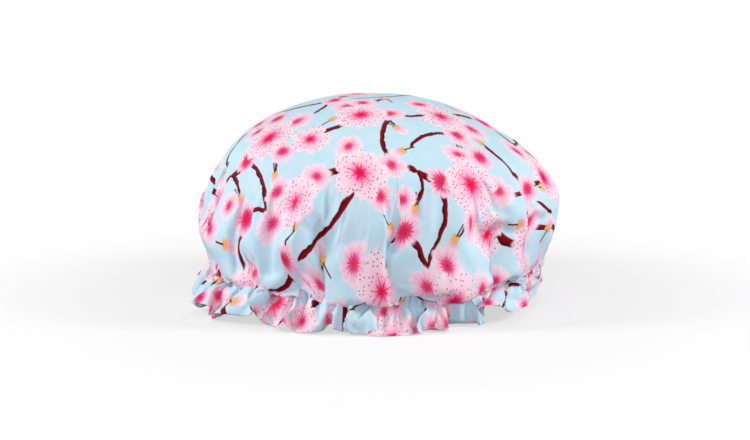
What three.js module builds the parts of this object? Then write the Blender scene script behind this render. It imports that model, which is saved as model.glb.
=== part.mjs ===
// Shower cap: a printed cloth circle over a waterproof circle, drawn in by an elastic band.
// The band runs in a casing between two stitched rows, and the cloth below it is a ruffled frill.
// Millimetres, +Z up. The cap stands on its hem at Z = 0, and its front faces -Y.
import * as THREE from "three";

// Crown
const CROWN_RADIUS = 135; // at the widest level
const DOME_RISE = 89; // from the widest level to the top
const WIDEST_RISE = 41; // from the upper stitch row to the widest level
const CROWN_RINGS = 4;
const TOP_LEAN = 5; // of the top, to the left
const LEAN_CLIMB = { from: 22, to: 50 }; // degrees up the dome between which it leans over

// Folds that run up the crown from the casing
const FOLD_DEPTH = 11; // from ridge to valley, at the shoulder
const FOLD_RISE = 48; // of their upper ends above the widest level
const SHOULDER_RISE = 17; // of the shoulder above the upper stitch row
const SHOULDER_DRAW = 2; // by which it is narrower than the widest level

// Gathers of the crown, which puff out and hang over the casing
const PUFF_OVERHANG = 6; // below the upper stitch row
const PUFF_BULGE = 8; // past the casing
const PUFF_DEPTH = 4.5; // of the folds, each way
const PUFF_SAG = 1.5; // of the fold tops below the fold valleys

// Casing and frill
const NECK_RADIUS = 124.5; // outer face of the cover at the casing
const CASING_WIDTH = 8; // between the two stitch rows
const FRILL_DROP = 23; // from the lower stitch row to the hem
const HEM_STITCH_INSET = 3.5; // of the hem row above the edge
const HEM_FLAT = 0.5; // depth of the flat where the hem stands

// Lobes of the frill round the cap, each a ridge and the valley after it.
// The ridge has its angle in degrees, its reach past the casing and its lift off the floor.
// The valley lies at the share fall of the way to the next ridge, with its own reach and lift.
// Reaches are shares of the flare, and lifts are shares of the hem's rise.
const FRILL_FLARE = 20;
const HEM_RISE = 10;
const LOBES = [
  { at: 14, reach: 0.8, lift: 0.5, fall: 0.5, dip: 0.2, rise: 0.6 },
  { at: 34, reach: 0.7, lift: 0, fall: 0.3, dip: 0.3, rise: 0.3 },
  { at: 56, reach: 0.8, lift: 0.3, fall: 0.5, dip: 0.2, rise: 0.7 },
  { at: 78, reach: 1, lift: 0, fall: 0.35, dip: 0.35, rise: 0.3 },
  { at: 101, reach: 0.95, lift: 0.2, fall: 0.5, dip: 0.2, rise: 0.8 },
  { at: 127, reach: 1, lift: 0, fall: 0.3, dip: 0.3, rise: 0.4 },
  { at: 153, reach: 0.95, lift: 0.3, fall: 0.5, dip: 0.35, rise: 0.5 },
  { at: 183, reach: 0.75, lift: 0.1, fall: 0.55, dip: 0.4, rise: 0.4 },
  { at: 207, reach: 0.95, lift: 0.6, fall: 0.45, dip: 0.35, rise: 0.4 },
  { at: 225, reach: 0.95, lift: 0, fall: 0.3, dip: 0.3, rise: 0.3 },
  { at: 243, reach: 1, lift: 0, fall: 0.45, dip: 0, rise: 1 },
  { at: 265, reach: 0.9, lift: 0, fall: 0.45, dip: 0.45, rise: 0.4 },
  { at: 277, reach: 0.9, lift: 0, fall: 0.4, dip: 0.5, rise: 0.2 },
  { at: 292, reach: 0.85, lift: 0, fall: 0.5, dip: 0.4, rise: 0.5 },
  { at: 310, reach: 0.6, lift: 0.6, fall: 0.5, dip: 0.2, rise: 0.9 },
  { at: 338, reach: 0.4, lift: 0.9, fall: 0.5, dip: 0.1, rise: 0.9 },
];

// Layers
const COVER_THICKNESS = 0.4;
const LINING_THICKNESS = 0.2;
const LAYER_GAP = 0.5;
const LINING_TUCK = 1; // lining edge above the cover's edge

// Elastic band and its lap
const ELASTIC_WIDTH = 4;
const ELASTIC_THICKNESS = 0.8;
const ELASTIC_LAP = 14; // length of the overlapped ends
const ELASTIC_STEPS = 72;
const LAP_ANGLE = 90; // degrees, at the back of the cap
const LAP_CLIMB = { from: 16, to: 4 }; // degrees before the lap between which the outer end climbs

// Thread
const THREAD_DIAMETER = 0.5;
const TACK_WIDTH = 2.4;
const TACK_LENGTH = 9;
const TACK_TURNS = 7;
const CLEARANCE = 0.35; // between pieces that touch

const TAU = 2 * Math.PI;
const FALL_STEPS = 2; // columns of cloth from a ridge down to its valley
const CLIMB_STEPS = 4; // columns from there up to the next ridge
const CROWN_STEPS = { top: 1, below: 2 }; // columns to a lobe in the dome's first ring, and in the others
const GATHERS_PER_LOBE = 2;
const LOWER_ROW = FRILL_DROP;
const UPPER_ROW = FRILL_DROP + CASING_WIDTH;
const PUFF_LEVEL = UPPER_ROW - PUFF_OVERHANG;
const SHOULDER_LEVEL = UPPER_ROW + SHOULDER_RISE;
const WIDEST_LEVEL = UPPER_ROW + WIDEST_RISE;
const CROWN_TOP = WIDEST_LEVEL + DOME_RISE;

const radians = THREE.MathUtils.degToRad;

// The lobe at the share u of the way round: its ridges, the angle there, and the height of the wave,
// from 1 on a ridge to 0 in the valley
function lobeAt(u) {
  const place = THREE.MathUtils.euclideanModulo(u, 1) * LOBES.length;
  const index = Math.floor(place);
  const lobe = LOBES[index];
  const next = LOBES[(index + 1) % LOBES.length];
  const fallShare = FALL_STEPS / (FALL_STEPS + CLIMB_STEPS);
  const falling = place - index < fallShare;
  const along = falling ? (place - index) / fallShare : (place - index - fallShare) / (1 - fallShare);
  const way = falling ? lobe.fall * along : lobe.fall + (1 - lobe.fall) * along;
  const span = THREE.MathUtils.euclideanModulo(next.at - lobe.at, 360);
  const wave = (1 + Math.cos(Math.PI * along)) / 2;
  return {
    lobe,
    ridge: falling ? lobe : next,
    angle: radians(lobe.at + span * way),
    height: falling ? wave : 1 - wave,
  };
}

function foldAngle(u) {
  return lobeAt(u).angle;
}

// Height of a gather over the casing, from -1 to 1: each lobe's fold, and a finer one across it
function gather(u) {
  const finer = Math.cos(GATHERS_PER_LOBE * LOBES.length * TAU * u);
  return (2 * lobeAt(u).height - 1 + finer) / 2;
}

function polar(radius, angle, height) {
  return new THREE.Vector3(radius * Math.cos(angle), radius * Math.sin(angle), height);
}

// Depth of the folds at a height on the crown
function foldDepth(height) {
  const top = WIDEST_LEVEL + FOLD_RISE;
  return FOLD_DEPTH * THREE.MathUtils.clamp((top - height) / (top - SHOULDER_LEVEL), 0, 1);
}

// Ring of the dome, counted from its top, which leans to the left. On the cover it has the folds' ridges
// and valleys, and the lining keeps inside the valleys.
function crownPoint(level, folded) {
  const climb = (1 - level / CROWN_RINGS) * (Math.PI / 2);
  const radius = CROWN_RADIUS * Math.cos(climb);
  const height = WIDEST_LEVEL + DOME_RISE * Math.sin(climb);
  const lean = TOP_LEAN * THREE.MathUtils.smoothstep(climb, radians(LEAN_CLIMB.from), radians(LEAN_CLIMB.to));
  return (u) => {
    const fold = foldDepth(height) * ((folded ? lobeAt(u).height : 0) - 0.5);
    const point = polar(radius + fold, foldAngle(u), height);
    return point.setX(point.x - lean);
  };
}

function shoulderPoint(u) {
  const fold = FOLD_DEPTH * (lobeAt(u).height - 0.5);
  return polar(CROWN_RADIUS - SHOULDER_DRAW + fold, foldAngle(u), SHOULDER_LEVEL);
}

function puffPoint(u) {
  const height = PUFF_LEVEL - PUFF_SAG * gather(u);
  return polar(NECK_RADIUS + PUFF_BULGE + PUFF_DEPTH * gather(u), foldAngle(u), height);
}

function neckPoint(height) {
  return (u) => polar(NECK_RADIUS, foldAngle(u), height);
}

function hemPoint(u) {
  const { lobe, ridge, angle, height } = lobeAt(u);
  const reach = FRILL_FLARE * THREE.MathUtils.lerp(lobe.dip, ridge.reach, height);
  const lift = HEM_RISE * THREE.MathUtils.lerp(lobe.rise, ridge.lift, height);
  return polar(NECK_RADIUS + reach, angle, Math.max(0, lift - HEM_FLAT));
}

// A point on the straight line of cloth from the hem up to the lower stitch row
function frillPoint(aboveHem) {
  return (u) => {
    const hem = hemPoint(u);
    const slope = neckPoint(LOWER_ROW)(u).sub(hem);
    return hem.addScaledVector(slope.clone().normalize(), aboveHem);
  };
}

// Points of one ring of the cloth's outer face
function ring(count, pointAt) {
  return Array.from({ length: count }, (_, i) => pointAt(i / count));
}

// Rings of the dome from its top down, with or without the cover's folds
function dome(folded) {
  const rings = [ring(1, crownPoint(0, folded))];
  for (let level = 1; level <= CROWN_RINGS; level += 1) {
    const steps = level === 1 ? CROWN_STEPS.top : CROWN_STEPS.below;
    rings.push(ring(LOBES.length * steps, crownPoint(level, folded)));
  }
  return rings;
}

// Rings of each layer from the top down
const FINE = LOBES.length * (FALL_STEPS + CLIMB_STEPS);
const shoulder = ring(LOBES.length * CROWN_STEPS.below, shoulderPoint);
const upperRow = ring(FINE, neckPoint(UPPER_ROW));
const channelRing = ring(FINE, neckPoint((UPPER_ROW + LOWER_ROW) / 2));
const lowerRow = ring(FINE, neckPoint(LOWER_ROW));
const hemRow = ring(FINE, frillPoint(HEM_STITCH_INSET));
const coverRings = [
  ...dome(true), shoulder, ring(FINE, puffPoint), upperRow, lowerRow, hemRow, ring(FINE, hemPoint),
];
const liningRings = [
  ...dome(false), upperRow, channelRing, lowerRow, hemRow, ring(FINE, frillPoint(LINING_TUCK)),
];

// Triangles between neighbouring rings of a face, where a lower ring has a multiple of the upper's points
function faceTriangles(counts, first) {
  const triangles = [];
  let upperStart = first;
  for (let row = 0; row + 1 < counts.length; row += 1) {
    const [upper, lower] = [counts[row], counts[row + 1]];
    const lowerStart = upperStart + upper;
    const each = lower / upper;
    const split = upper === 1 ? each : Math.floor(each / 2);
    for (let i = 0; i < upper; i += 1) {
      const here = upperStart + i;
      const next = upperStart + ((i + 1) % upper);
      const low = (j) => lowerStart + ((i * each + j) % lower);
      for (let j = 0; j < each; j += 1) {
        if (j === split) triangles.push([here, low(j), next]);
        triangles.push([j < split ? here : next, low(j), low(j + 1)]);
      }
    }
    upperStart = lowerStart;
  }
  return triangles;
}

// Outward unit normals of a face at each point of its rings, weighted by the corners' angles
// and level along the hem, so that its cut edge is flat
function ringNormals(rings) {
  const points = rings.flat();
  const normals = points.map(() => new THREE.Vector3());
  for (const [a, b, c] of faceTriangles(rings.map((r) => r.length), 0)) {
    for (const [corner, next, last] of [[a, b, c], [b, c, a], [c, a, b]]) {
      const toNext = points[next].clone().sub(points[corner]);
      const toLast = points[last].clone().sub(points[corner]);
      const angle = toNext.angleTo(toLast);
      normals[corner].addScaledVector(toNext.cross(toLast).normalize(), angle);
    }
  }
  normals.forEach((normal) => normal.normalize());
  normals[0].set(0, 0, 1);
  for (const level of normals.slice(-rings.at(-1).length)) level.setZ(0).normalize();
  let start = 0;
  return rings.map((r) => {
    start += r.length;
    return normals.slice(start - r.length, start);
  });
}

// Rings moved inwards along their normals, by one depth for each ring
function inset(rings, normals, depths) {
  return rings.map((r, row) => r.map((p, i) => p.clone().addScaledVector(normals[row][i], -depths[row])));
}

function geometryOf(points, triangles) {
  const geometry = new THREE.BufferGeometry().setFromPoints(points);
  geometry.setIndex(triangles.flat());
  geometry.computeVertexNormals();
  return geometry;
}

// A closed skin of cloth: an outer and an inner face joined along the hem
function skin(outer, inner) {
  const counts = outer.map((r) => r.length);
  const points = [...outer.flat(), ...inner.flat()];
  const total = points.length / 2;
  const triangles = faceTriangles(counts, 0);
  for (const [a, b, c] of faceTriangles(counts, total)) triangles.push([a, c, b]);
  const hemCount = counts.at(-1);
  const hemStart = total - hemCount;
  for (let i = 0; i < hemCount; i += 1) {
    const here = hemStart + i;
    const next = hemStart + ((i + 1) % hemCount);
    triangles.push([here, here + total, next + total], [here, next + total, next]);
  }
  return geometryOf(points, triangles);
}

// A solid swept through sections of equal count, closed on itself or capped at both ends
function sweep(sections, closed) {
  const sides = sections[0].length;
  const spans = closed ? sections.length : sections.length - 1;
  const triangles = [];
  for (let i = 0; i < spans; i += 1) {
    const start = i * sides;
    const end = ((i + 1) % sections.length) * sides;
    for (let j = 0; j < sides; j += 1) {
      const k = (j + 1) % sides;
      triangles.push([start + j, start + k, end + k], [start + j, end + k, end + j]);
    }
  }
  const last = (sections.length - 1) * sides;
  for (let j = 1; !closed && j + 1 < sides; j += 1) {
    triangles.push([0, j + 1, j], [last, last + j, last + j + 1]);
  }
  return geometryOf(sections.flat(), triangles);
}

// A thread of square section along points, with a normal of the cloth at each
function thread(points, normals, closed) {
  const corners = 4;
  const count = points.length;
  const sections = points.map((point, i) => {
    const before = points[closed ? (i + count - 1) % count : Math.max(i - 1, 0)];
    const after = points[closed ? (i + 1) % count : Math.min(i + 1, count - 1)];
    const along = after.clone().sub(before).normalize();
    const across = along.clone().cross(normals[i]).normalize();
    const up = across.clone().cross(along);
    return Array.from({ length: corners }, (_, corner) => {
      const turn = (TAU * corner) / corners;
      const offset = up.clone().multiplyScalar(Math.cos(turn)).addScaledVector(across, Math.sin(turn));
      return point.clone().addScaledVector(offset, THREAD_DIAMETER / 2);
    });
  });
  return sweep(sections, closed);
}

// Cover, and the lining that stands off it at the casing to leave the band its channel
const LINING_DEPTH = COVER_THICKNESS + LAYER_GAP;
const STACK = 2 * ELASTIC_THICKNESS + CLEARANCE; // both layers of the lap
const BAND_ROOM = STACK + 2 * CLEARANCE;
const TACK_ROOM = BAND_ROOM + THREAD_DIAMETER + CLEARANCE;
const BAND_BULGE = BAND_ROOM / (1 - ELASTIC_WIDTH / CASING_WIDTH);
const TACK_BULGE = TACK_ROOM / (1 - (TACK_WIDTH + THREAD_DIAMETER) / CASING_WIDTH);
const CHANNEL_DEPTH = COVER_THICKNESS + Math.max(BAND_BULGE, TACK_BULGE);

const coverNormals = ringNormals(coverRings);
const liningNormals = ringNormals(liningRings);
const channelRow = liningRings.indexOf(channelRing);
const liningDepths = liningRings.map((_, row) => (row === channelRow ? CHANNEL_DEPTH : LINING_DEPTH));
const innerDepths = liningDepths.map((depth) => depth + LINING_THICKNESS);
const coverInside = inset(coverRings, coverNormals, coverRings.map(() => COVER_THICKNESS));
const liningOutside = inset(liningRings, liningNormals, liningDepths);
const liningInside = inset(liningRings, liningNormals, innerDepths);

// Elastic band: a flat strip round the channel whose outer end laps over its inner end
function elasticBand() {
  const outerRadius = NECK_RADIUS - COVER_THICKNESS - CLEARANCE - ELASTIC_THICKNESS;
  const innerRadius = outerRadius - ELASTIC_THICKNESS - CLEARANCE;
  const middle = (UPPER_ROW + LOWER_ROW) / 2;
  const lapTurn = ELASTIC_LAP / NECK_RADIUS;
  const stepCount = ELASTIC_STEPS + Math.ceil((lapTurn / TAU) * ELASTIC_STEPS) + 1;
  const sections = Array.from({ length: stepCount + 1 }, (_, i) => {
    const turn = ((TAU + lapTurn) * i) / stepCount;
    const toLap = TAU - turn;
    const climb = 1 - THREE.MathUtils.smoothstep(toLap, radians(LAP_CLIMB.to), radians(LAP_CLIMB.from));
    const radius = THREE.MathUtils.lerp(innerRadius, outerRadius, climb);
    const angle = radians(LAP_ANGLE) - lapTurn / 2 + turn;
    return [
      polar(radius + ELASTIC_THICKNESS, angle, middle - ELASTIC_WIDTH / 2),
      polar(radius + ELASTIC_THICKNESS, angle, middle + ELASTIC_WIDTH / 2),
      polar(radius, angle, middle + ELASTIC_WIDTH / 2),
      polar(radius, angle, middle - ELASTIC_WIDTH / 2),
    ].reverse();
  });
  return sweep(sections, false);
}

// Tack: a zigzag of thread on the inner face of the lap
function lapTack() {
  const bandRadius = NECK_RADIUS - COVER_THICKNESS - CLEARANCE - STACK;
  const radius = bandRadius - CLEARANCE - THREAD_DIAMETER / 2;
  const middle = (UPPER_ROW + LOWER_ROW) / 2;
  const points = [];
  const normals = [];
  for (let i = 0; i <= TACK_TURNS; i += 1) {
    const angle = radians(LAP_ANGLE) + (TACK_LENGTH / radius) * (i / TACK_TURNS - 0.5);
    const side = i % 2 ? 1 : -1;
    points.push(polar(radius, angle, middle + (side * TACK_WIDTH) / 2));
    normals.push(polar(-1, angle, 0));
  }
  return thread(points, normals, false);
}

// One thread of a stitch row, lying along a ring of cloth on the side its normals point to
function rowThread(points, normals) {
  const standoff = CLEARANCE + THREAD_DIAMETER;
  const line = points.map((p, i) => p.clone().addScaledVector(normals[i], standoff));
  return thread(line, normals, true);
}

// Materials
const printedCloth = new THREE.MeshStandardMaterial({ color: 0xcfe8f4, roughness: 0.5 });
const liningFilm = new THREE.MeshStandardMaterial({ color: 0xf1f5f6, roughness: 0.35 });
const elasticWhite = new THREE.MeshStandardMaterial({ color: 0xf4f2ec, roughness: 0.8 });
const sewingThread = new THREE.MeshStandardMaterial({ color: 0xd6ecf6, roughness: 0.6 });

const showerCap = new THREE.Group();

function addPiece(name, geometry, material) {
  const mesh = new THREE.Mesh(geometry, material);
  mesh.name = name;
  showerCap.add(mesh);
}

addPiece("outer_cover", skin(coverRings, coverInside), printedCloth);
addPiece("waterproof_lining", skin(liningOutside, liningInside), liningFilm);
addPiece("elastic_band", elasticBand(), elasticWhite);
addPiece("elastic_lap_tack", lapTack(), sewingThread);

const stitchRows = [
  { name: "upper_casing", row: upperRow },
  { name: "lower_casing", row: lowerRow },
  { name: "hem", row: hemRow },
];
for (const { name, row } of stitchRows) {
  const coverRow = coverRings.indexOf(row);
  const liningRow = liningRings.indexOf(row);
  const inward = liningNormals[liningRow].map((normal) => normal.clone().negate());
  addPiece(`${name}_needle_thread`, rowThread(row, coverNormals[coverRow]), sewingThread);
  addPiece(`${name}_bobbin_thread`, rowThread(liningInside[liningRow], inward), sewingThread);
}

export default showerCap;
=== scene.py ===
# Shower cap: a printed cloth circle over a waterproof film, gathered by an elastic band above a frill.
# The cloth settles by simulation from a slack shape, while its casing is drawn in.
# Sizes are in millimetres, and are turned into metres as the pieces are made.
import math
from collections import namedtuple

import bpy
import numpy as np
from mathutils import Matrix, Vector


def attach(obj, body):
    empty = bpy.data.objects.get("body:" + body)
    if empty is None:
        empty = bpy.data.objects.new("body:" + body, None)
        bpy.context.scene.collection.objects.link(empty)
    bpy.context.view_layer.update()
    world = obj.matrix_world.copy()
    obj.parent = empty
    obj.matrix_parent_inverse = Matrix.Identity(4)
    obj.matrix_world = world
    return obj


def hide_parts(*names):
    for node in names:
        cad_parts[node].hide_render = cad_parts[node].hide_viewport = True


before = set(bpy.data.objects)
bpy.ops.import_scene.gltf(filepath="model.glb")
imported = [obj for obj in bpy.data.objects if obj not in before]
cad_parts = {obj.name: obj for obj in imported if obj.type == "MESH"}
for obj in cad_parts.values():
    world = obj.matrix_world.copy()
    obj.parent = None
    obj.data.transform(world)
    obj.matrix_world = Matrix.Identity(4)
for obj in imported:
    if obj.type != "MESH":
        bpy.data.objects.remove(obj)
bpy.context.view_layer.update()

TAU = 2 * math.pi
MM = 0.001
FLOOR_SIZE = 6  # each way, in metres

# Crown and casing, as in the solids
CROWN_RADIUS = 135
DOME_RISE = 89
WIDEST_LEVEL = 72
CROWN_TOP = WIDEST_LEVEL + DOME_RISE
UPPER_ROW = 31
LOWER_ROW = 23
NECK_RADIUS = 124.5
PUFF_LEVEL = 6  # to which the crown tends before it turns in to the casing
PUFF_RADIUS = 136
PUFF_PLAY = 14  # rise and fall of that level round the cap
SWELL_LEVEL, SWELL_RADIUS = 50, CROWN_RADIUS + 1  # towards which it leaves its widest ring
FRILL_WIDTH = 30  # of the cloth from the lower row to the hem
FLARE_POWER = 0.6  # of the way down the frill: below 1, it flares early

# Hang and lean of the settled cloth. Pairs of places run from no effect to all of it
FRONT_SAG, SIDE_DRAW = 11, 4  # of the puffs, at front and back and at the two sides
SAG_LEVELS = (80, 45)
SAG_END = (2, 14)  # way from the upper row over which the sag begins
DRAW_ROOM = 12  # outside the casing, in which less is drawn in
FRILL_SAG = 6  # of the frill, where it is off the floor
FRILL_SAG_LEVELS = (0, 9)
FRILL_DRAW, FRILL_LIFT = 11, 8  # of the hem on the right
RIGHT_SIDE = (75, 135)
FRILL_REACH = 6  # outwards, of the hem on the left
LEFT_SIDE = (60, 130)
FLOOR_GAP = 0.05  # under the settled hem, which is let down by it
OVERHANG_GAP = 1.4  # from the casing's gathers to the crown that hangs past them
OVERHANG_LEVELS = (UPPER_ROW + 9, UPPER_ROW + 1)
SHOULDER_LEVEL, SHOULDER_SPREAD = 90, 27
SHOULDER_FULLNESS, SHOULDER_LEAN, SHOULDER_DEPTH = 0.034, 0.006, 0.02
BELLY_LEVEL, BELLY_SPREAD = 57, 16
BELLY_FULLNESS, BELLY_SHIFT = 0.02, 4
TOP_SHIFT = 5  # of the top to the left
TOP_LEVELS = (105, 140)

# Lobes of the frill: a ridge's angle, reach and lift, and the reach (dip) and lift (rise) of the next valley.
# fall is the valley's place on the way to the next ridge, tuck the degrees that its hem slips under the ridge
Lobe = namedtuple("Lobe", "at reach lift fall dip rise tuck")
LOBES = [
    Lobe(14, 12, 5, 0.5, -3, 6, 2),
    Lobe(34, 16, 0, 0.3, -2, 3, 5),
    Lobe(56, 14, 3, 0.5, -5, 7, 0),
    Lobe(78, 17, 0, 0.35, -2, 3, 6),
    Lobe(101, 15, 2, 0.5, -5, 8, 2),
    Lobe(127, 17, 0, 0.3, -3, 4, 5),
    Lobe(153, 14, 3, 0.5, -3, 5, 0),
    Lobe(185, 23, -2, 0.55, -2, 4, 0),
    Lobe(207, 15, 6, 0.45, -2, 4, 3),
    Lobe(225, 17, 0, 0.3, -2, 3, 7),
    Lobe(243, 17, 0, 0.45, -8, 10, 6),
    Lobe(265, 15, 0, 0.45, -1, 4, 4),
    Lobe(277, 15, 0, 0.4, 0, 2, 4),
    Lobe(292, 15, 0, 0.5, -1, 5, 3),
    Lobe(310, 14, 4, 0.5, -4, 8, 0),
    Lobe(338, 12, 6, 0.5, -5, 8, 0),
]

# Creases that run up the crown from the casing: angle at the casing, depth, half width in degrees,
# how far up the cloth they run, and the degrees that they lean on the way
Crease = namedtuple("Crease", "at depth width run lean")
CREASES = [
    Crease(6, 14, 6, 75, -3),
    Crease(24, 20, 5, 110, 4),
    Crease(41, 11, 6, 60, 0),
    Crease(60, 18, 5, 95, -4),
    Crease(83, 13, 7, 65, 3),
    Crease(104, 20, 5, 110, 0),
    Crease(124, 13, 6, 65, -3),
    Crease(143, 18, 5, 100, 4),
    Crease(160, 11, 6, 60, 0),
    Crease(181, 8, 6, 50, 3),
    Crease(204, 15, 7, 70, 0),
    Crease(226, 8, 6, 50, 3),
    Crease(245, 21, 5, 115, -1),
    Crease(255, 10, 5, 50, -2),
    Crease(269, 11, 8, 100, 1),
    Crease(280, 18, 5, 85, 8),
    Crease(305, 17, 5, 70, 3),
    Crease(319, 14, 5, 80, 5),
    Crease(333, 14, 5, 85, 4),
    Crease(349, 14, 6, 90, 2),
]
FALL_SHARE = 1 / 3  # of a lobe's columns, between its ridge and its valley
RIDGE_POWER = 1.3  # above 1, a lobe's ridge is narrower than its valley
HEM_LIFT = 0.5  # of the drawn-in hem over its lobes' own lift
CREASE_FOOT = 0.6  # share of its depth that a crease has at the casing
CREASE_FULL, CREASE_FADE = (0, 0.3), (0.25, 1)  # shares of its run
CREASE_SPREAD = 1.2  # by which it is wider at its upper end
CREASE_PULL = 0.5  # share of its width by which the cloth is drawn in to it
CREASE_BALANCE = 0.7  # share of their mean depth that the cloth between them makes up
GATHERS = 72  # fine gathers round the casing
GATHER_DEPTH = 2.8  # each way
GATHER_DRIFT, GATHER_PLAY = 1.6, 0.3  # unevenness of place, in radians, and of depth
GATHER_FADE = 0.45  # share that they lose on the way to the hem
GATHER_ABOVE = 16  # way above the casing on which they begin

# Hem, film and stitches
HEM_ROLL = 1.1  # thickness of the turned hem
FILM_GAP = 0.4  # from the middle of the cloth to the film
FILM_RADIUS_AT_ELASTIC = 120.2
FILM_LIFT = 0.3  # of the film's crown off the form
FILM_SHORT = 0.25  # share of the last step by which it ends above the hem
STITCH_PITCH, STITCH_LENGTH = 2.6, 2.2
STITCH_ARCH, STITCH_TIP = 2.2, 0.6  # of its middle and its ends, in radii of the thread
THREAD_RADIUS = 0.2
STITCH_SIDES, STITCH_RINGS = 6, 5
TANGENT_STEP = 0.1

# Columns and steps of the cloth's mesh
FINE = 448
CASING_STEPS = 4
FRILL_STEPS = 10
CROWN_BANDS = [(56, 6, 45), (112, 4.5, 90), (224, 4, 140)]  # columns, step and end of each band
FINE_STEP = 3.2
DOME_STEPS, PUFF_STEPS, FORM_STEPS = 200, 120, 60  # of the profiles that the shapes are read from
FORM_COLUMNS = 96
CASING_BINS = 180  # round the casing, for the reach of its gathers

# Slack of the cloth: how much longer a ring's cloth is than its place on the drawn-in cap
SLACK_AT_WIDEST = 1.2
SLACK_AT_CASING = 1.8
HEM_REST_RADIUS = 248
RIGHT_TRIM = 0.12  # share by which the frill is shorter round its right side
RIGHT_TRIM_SPAN = (0.2, 1)  # cosines of the angle, from no trim to all of it
SNUG_SHARE, SNUG_EASE = 0.55, 1.005  # part of the crown's way that lies on the dome, and its ease
REST_SAMPLES, REST_SMOOTHING = 2000, 60

# Settling
SIM_SCALE = 10  # the solver is steadier on a larger cap
DRAW_FRAMES = 20  # in which the elastic draws the casing in
SIM_FRAMES = 38
STIR = 0.003  # of the slack cloth's first unevenness, for each millimetre of a crease
FORM_INSET = 3  # of the form that fills the crown, from the crown
FORM_TOP_INSET = 2.5
FORM_BOTTOM = 24
FORM_DRAW = 8  # by which it is narrower at its middle, and again at its foot
FORM_MIDDLE, FORM_FOOT = (125, 75), (75, 28)
FORM_TIP = 0.5  # least radius
CONTACT = 0.01  # thickness of a contact, in metres of the larger cap
GRIP = 5  # friction of the form and the ground

# Shape of the drawn-in and the slack cloth


def smooth(low, high, x):
    t = np.clip((x - low) / (high - low), 0, 1)
    return t * t * (3 - 2 * t)


def noise(u, waves, seed):
    """Smooth noise round the cap, about 1 in size."""
    random = np.random.default_rng(seed)
    total = np.zeros_like(u)
    for wave in range(1, waves + 1):
        total += random.normal() * np.cos(TAU * wave * u + random.uniform(0, TAU))
    return total / math.sqrt(waves)


def running(steps):
    return np.concatenate([[0], np.cumsum(steps)])


def lobe_values(name, index):
    return np.array([getattr(lobe, name) for lobe in LOBES], float)[index]


def lobe_wave(u):
    """At shares u round: angle, height of the wave (0 in a valley, 1 on a ridge), lobe and nearest ridge."""
    place = np.mod(u, 1) * len(LOBES)
    index = np.floor(place).astype(int) % len(LOBES)
    after = (index + 1) % len(LOBES)
    part = place - np.floor(place)
    falling = part < FALL_SHARE
    along = np.where(falling, part / FALL_SHARE, (part - FALL_SHARE) / (1 - FALL_SHARE))
    fall = lobe_values("fall", index)
    way = np.where(falling, fall * along, fall + (1 - fall) * along)
    span = np.mod(lobe_values("at", after) - lobe_values("at", index), 360)
    angle = np.radians(lobe_values("at", index) + span * way)
    wave = (1 + np.cos(np.pi * along)) / 2
    height = np.where(falling, wave, 1 - wave)
    return angle, height, index, np.where(falling, index, after)


def puff(t, radius, level):
    """Radius and height of the crown at t of the way from its widest ring to the upper row."""
    weights = [(1 - t) ** 3, 3 * (1 - t) ** 2 * t, 3 * (1 - t) * t * t, t**3]
    radii = [CROWN_RADIUS, SWELL_RADIUS, radius, NECK_RADIUS]
    levels = [WIDEST_LEVEL, SWELL_LEVEL, level, UPPER_ROW]
    return sum(w * r for w, r in zip(weights, radii)), sum(w * z for w, z in zip(weights, levels))


def meridian():
    """Arc length, radius and height of the drawn-in crown from its top to the upper row."""
    climb = np.radians(np.linspace(90, 0, DOME_STEPS))
    below = puff(PUFF_SHARES, PUFF_RADIUS, PUFF_LEVEL)
    radius = np.concatenate([CROWN_RADIUS * np.cos(climb), below[0]])
    height = np.concatenate([WIDEST_LEVEL + DOME_RISE * np.sin(climb), below[1]])
    return running(np.hypot(np.diff(radius), np.diff(height))), radius, height


PUFF_SHARES = np.linspace(0.01, 1, PUFF_STEPS)
ARC, ARC_RADIUS, ARC_HEIGHT = meridian()
WIDEST_RHO = float(np.interp(-WIDEST_LEVEL, -ARC_HEIGHT[:DOME_STEPS], ARC[:DOME_STEPS]))
SNUG_RHO = SNUG_SHARE * WIDEST_RHO
UPPER_RHO = float(ARC[-1])
LOWER_RHO = UPPER_RHO + UPPER_ROW - LOWER_ROW
HEM_RHO = LOWER_RHO + FRILL_WIDTH


def ring_plan():
    """Distance from the middle of the flat cut, and count of columns, of each ring of the cloth."""
    plan = [(0.0, 1)]
    rho = CROWN_BANDS[0][1]
    for columns, step, end in CROWN_BANDS:
        while rho < end:
            plan.append((rho, columns))
            rho += step
    steps = round((UPPER_RHO - rho) / FINE_STEP)
    plan += [(x, FINE) for x in np.linspace(rho, UPPER_RHO, steps)]
    plan += [(x, FINE) for x in np.linspace(UPPER_RHO, LOWER_RHO, CASING_STEPS + 1)[1:]]
    plan += [(x, FINE) for x in np.linspace(LOWER_RHO, HEM_RHO, FRILL_STEPS + 1)[1:]]
    return plan


RINGS = ring_plan()
STARTS = running([count for _, count in RINGS]).tolist()
ROWS = len(RINGS)
UPPER_INDEX = ROWS - 1 - FRILL_STEPS - CASING_STEPS
LOWER_INDEX = ROWS - 1 - FRILL_STEPS
HEM_STITCH_INDEX = ROWS - 3
RHO = np.repeat([rho for rho, _ in RINGS], [count for _, count in RINGS])


def shares(count):
    return np.arange(count) / count


def around(radius, angle, height):
    return np.stack([radius * np.cos(angle), radius * np.sin(angle), height], 1)


def neighbours(count):
    return [(j, (j + 1) % count) for j in range(count)]


def band_faces(start, after, count):
    """Faces between two rings of one count, from the numbers of their first points."""
    return [(start + j, after + j, after + k, start + k) for j, k in neighbours(count)]


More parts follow.
